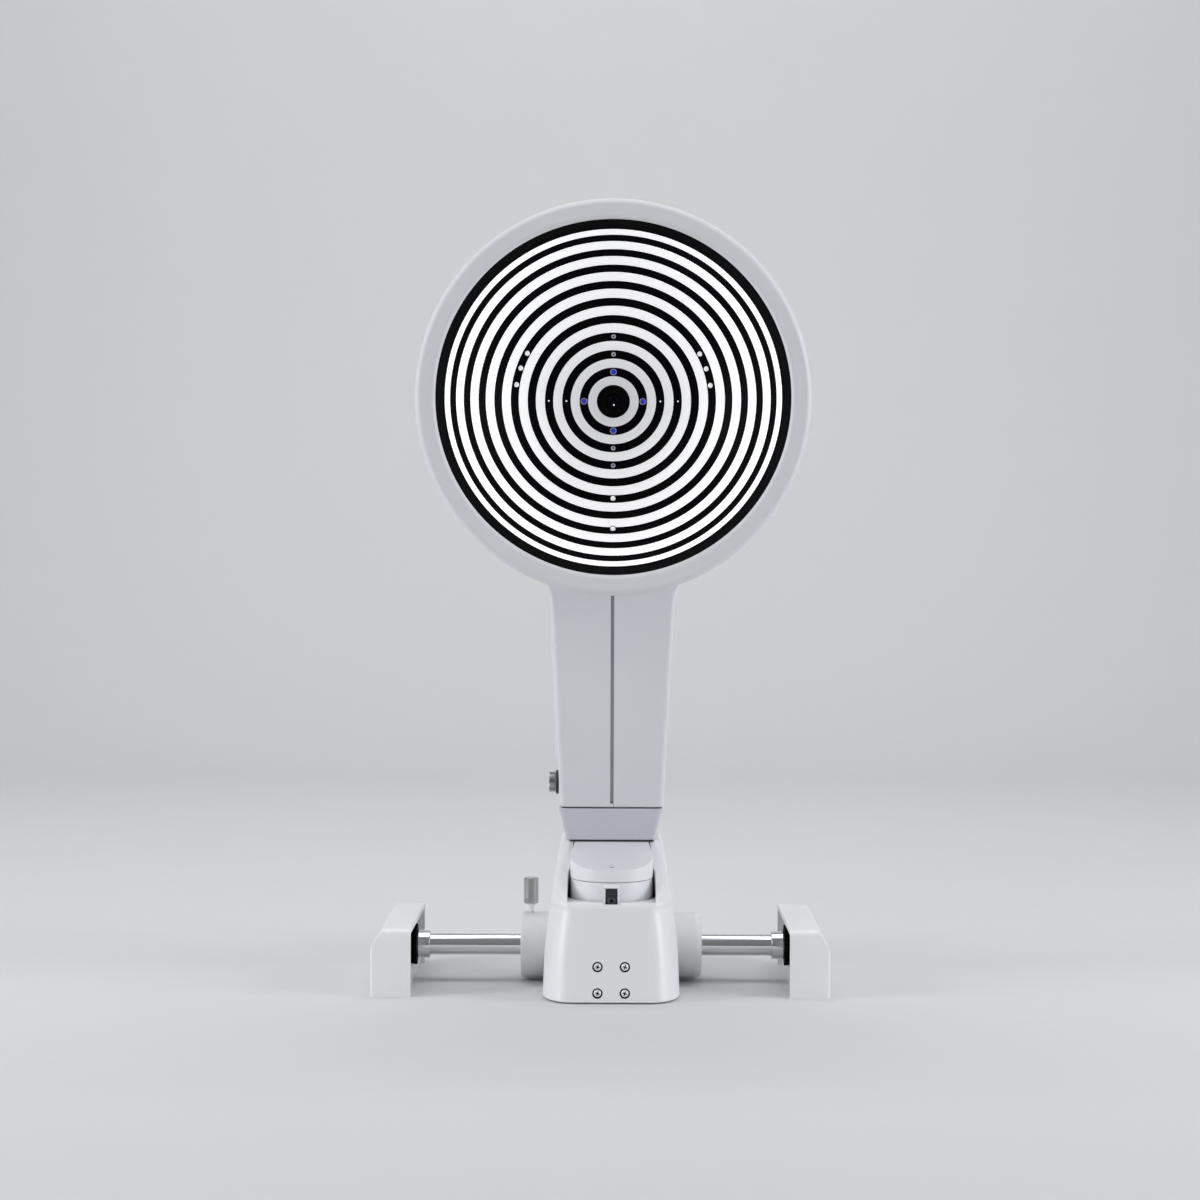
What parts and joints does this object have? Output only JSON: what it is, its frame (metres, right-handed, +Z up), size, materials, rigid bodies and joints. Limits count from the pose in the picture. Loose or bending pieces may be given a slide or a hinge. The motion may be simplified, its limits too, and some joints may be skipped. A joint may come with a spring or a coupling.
{
  "type": "corneal topographer",
  "caption": "Corneal topographer: ring-lit concave measuring bowl on a leaning column, carried by a joystick base that slides and rolls on an axle between two rail covers.",
  "frame": {"origin": "middle of the bounding box's underside, on the table that the rail covers stand on", "axes": "+Z up the column, +X across the rails along the axle, +Y from the bowl's open side towards the joystick"},
  "size_m": [0.315, 0.25, 0.5388],
  "materials": {
    "white_shell": "glossy white moulded plastic",
    "pale_shell": "fine matte pale grey",
    "grey_column": "satin blue-grey",
    "boss_paint": "matte light grey paint on a casting",
    "arm_paint": "satin blue-grey paint on a casting",
    "polished_steel": "polished",
    "rack_steel": "milled",
    "dark_metal": "dark anodised",
    "bush_bronze": "plain",
    "black_plastic": "fine grained black",
    "button_plastic": "smooth",
    "ring_plastic": "milky light rings with black rings between",
    "board": "lacquered board",
    "lens": "coated",
    "blue_lamp": "clear blue resin"
  },
  "bodies": {
    "rails": {"left_rail_cover": "white_shell", "right_rail_cover": "white_shell", "left_rack": "rack_steel", "right_rack": "rack_steel"},
    "axle_carrier": {"left_axle_collar": "polished_steel", "right_axle_collar": "polished_steel"},
    "axle": {"axle_shaft": "polished_steel", "left_toothed_wheel": "black_plastic", "right_toothed_wheel": "black_plastic"},
    "base": {"base_casting": "boss_paint", "tower_cover": "white_shell", "rear_cover": "white_shell", "left_bush": "bush_bronze", "right_bush": "bush_bronze", "glide_skid": "black_plastic", "cover_screw_upper_left": "polished_steel", "cover_screw_upper_right": "polished_steel", "cover_screw_lower_left": "polished_steel", "cover_screw_lower_right": "polished_steel", "spindle_guide": "dark_metal", "power_socket": "black_plastic", "data_socket": "black_plastic", "joystick_collar": "black_plastic", "joystick_socket": "dark_metal"},
    "base_lock": {"base_lock_screw": "polished_steel"},
    "stick_ring": {"joystick_gimbal": "polished_steel"},
    "stick": {"joystick_lever": "black_plastic"},
    "stick_sleeve": {"height_sleeve": "black_plastic"},
    "trigger": {"trigger_button": "button_plastic"},
    "lift": {"spindle": "polished_steel", "foot_flange": "boss_paint", "foot_plate": "arm_paint", "stop_block": "white_shell", "stop_screw": "polished_steel", "arm_casting": "arm_paint", "left_column_cover": "grey_column", "right_column_cover": "grey_column", "groove_strip": "dark_metal", "left_side_cover": "pale_shell", "arm_lock_washer": "black_plastic", "rear_housing": "pale_shell", "bowl_rim": "pale_shell", "ring_bowl": "ring_plastic", "lamp_board": "board", "camera_barrel": "black_plastic", "camera_lens": "lens", "camera_body": "dark_metal", "blue_lamp_upper": "blue_lamp", "blue_lamp_lower": "blue_lamp", "blue_lamp_left": "blue_lamp", "blue_lamp_right": "blue_lamp"},
    "arm_lock": {"arm_lock_knob": "polished_steel"}
  },
  "joints": [
    {"name": "fore_aft", "type": "slide", "parent": "rails", "child": "axle_carrier", "axis": [0, 1, 0], "range_m": [-0.05, 0.05]},
    {"name": "axle_roll", "type": "hinge", "parent": "axle_carrier", "child": "axle", "pos_m": [0, 0.015, 0.025], "axis": [1, 0, 0], "range_deg": [-213, 213]},
    {"name": "side_slide", "type": "slide", "parent": "axle_carrier", "child": "base", "axis": [1, 0, 0], "range_m": [-0.06, 0.045]},
    {"name": "lift_slide", "type": "slide", "parent": "base", "child": "lift", "axis": [0, 0, 1], "range_m": [0, 0.03]},
    {"name": "base_lock_turn", "type": "hinge", "parent": "base", "child": "base_lock", "pos_m": [-0.0495, 0.015, 0.06], "axis": [0, 0, 1], "range_deg": [0, 270]},
    {"name": "arm_lock_turn", "type": "hinge", "parent": "lift", "child": "arm_lock", "pos_m": [-0.0345, 0.004, 0.1415], "axis": [1, 0, 0], "range_deg": [0, 270]},
    {"name": "stick_tilt_fore_aft", "type": "hinge", "parent": "base", "child": "stick_ring", "pos_m": [0.0075, 0.095, 0.06], "axis": [1, 0, 0], "range_deg": [-10, 10]},
    {"name": "stick_tilt_side", "type": "hinge", "parent": "stick_ring", "child": "stick", "pos_m": [0.0075, 0.095, 0.06], "axis": [0, 1, 0], "range_deg": [-10, 10]},
    {"name": "height_twist", "type": "hinge", "parent": "stick", "child": "stick_sleeve", "pos_m": [0.0075, 0.095, 0.11], "axis": [0, 0, 1], "range_deg": [-1, 901]},
    {"name": "trigger_press", "type": "slide", "parent": "stick", "child": "trigger", "axis": [0, 0, -1], "range_m": [0, 0.0022], "stiffness_N_per_m": 600}
  ],
  "couplings": [
    {"joint": "axle_roll", "follows": "fore_aft", "rad_per_m": -74.074},
    {"joint": "height_twist", "follows": "lift_slide", "rad_per_m": 523.6}
  ]
}
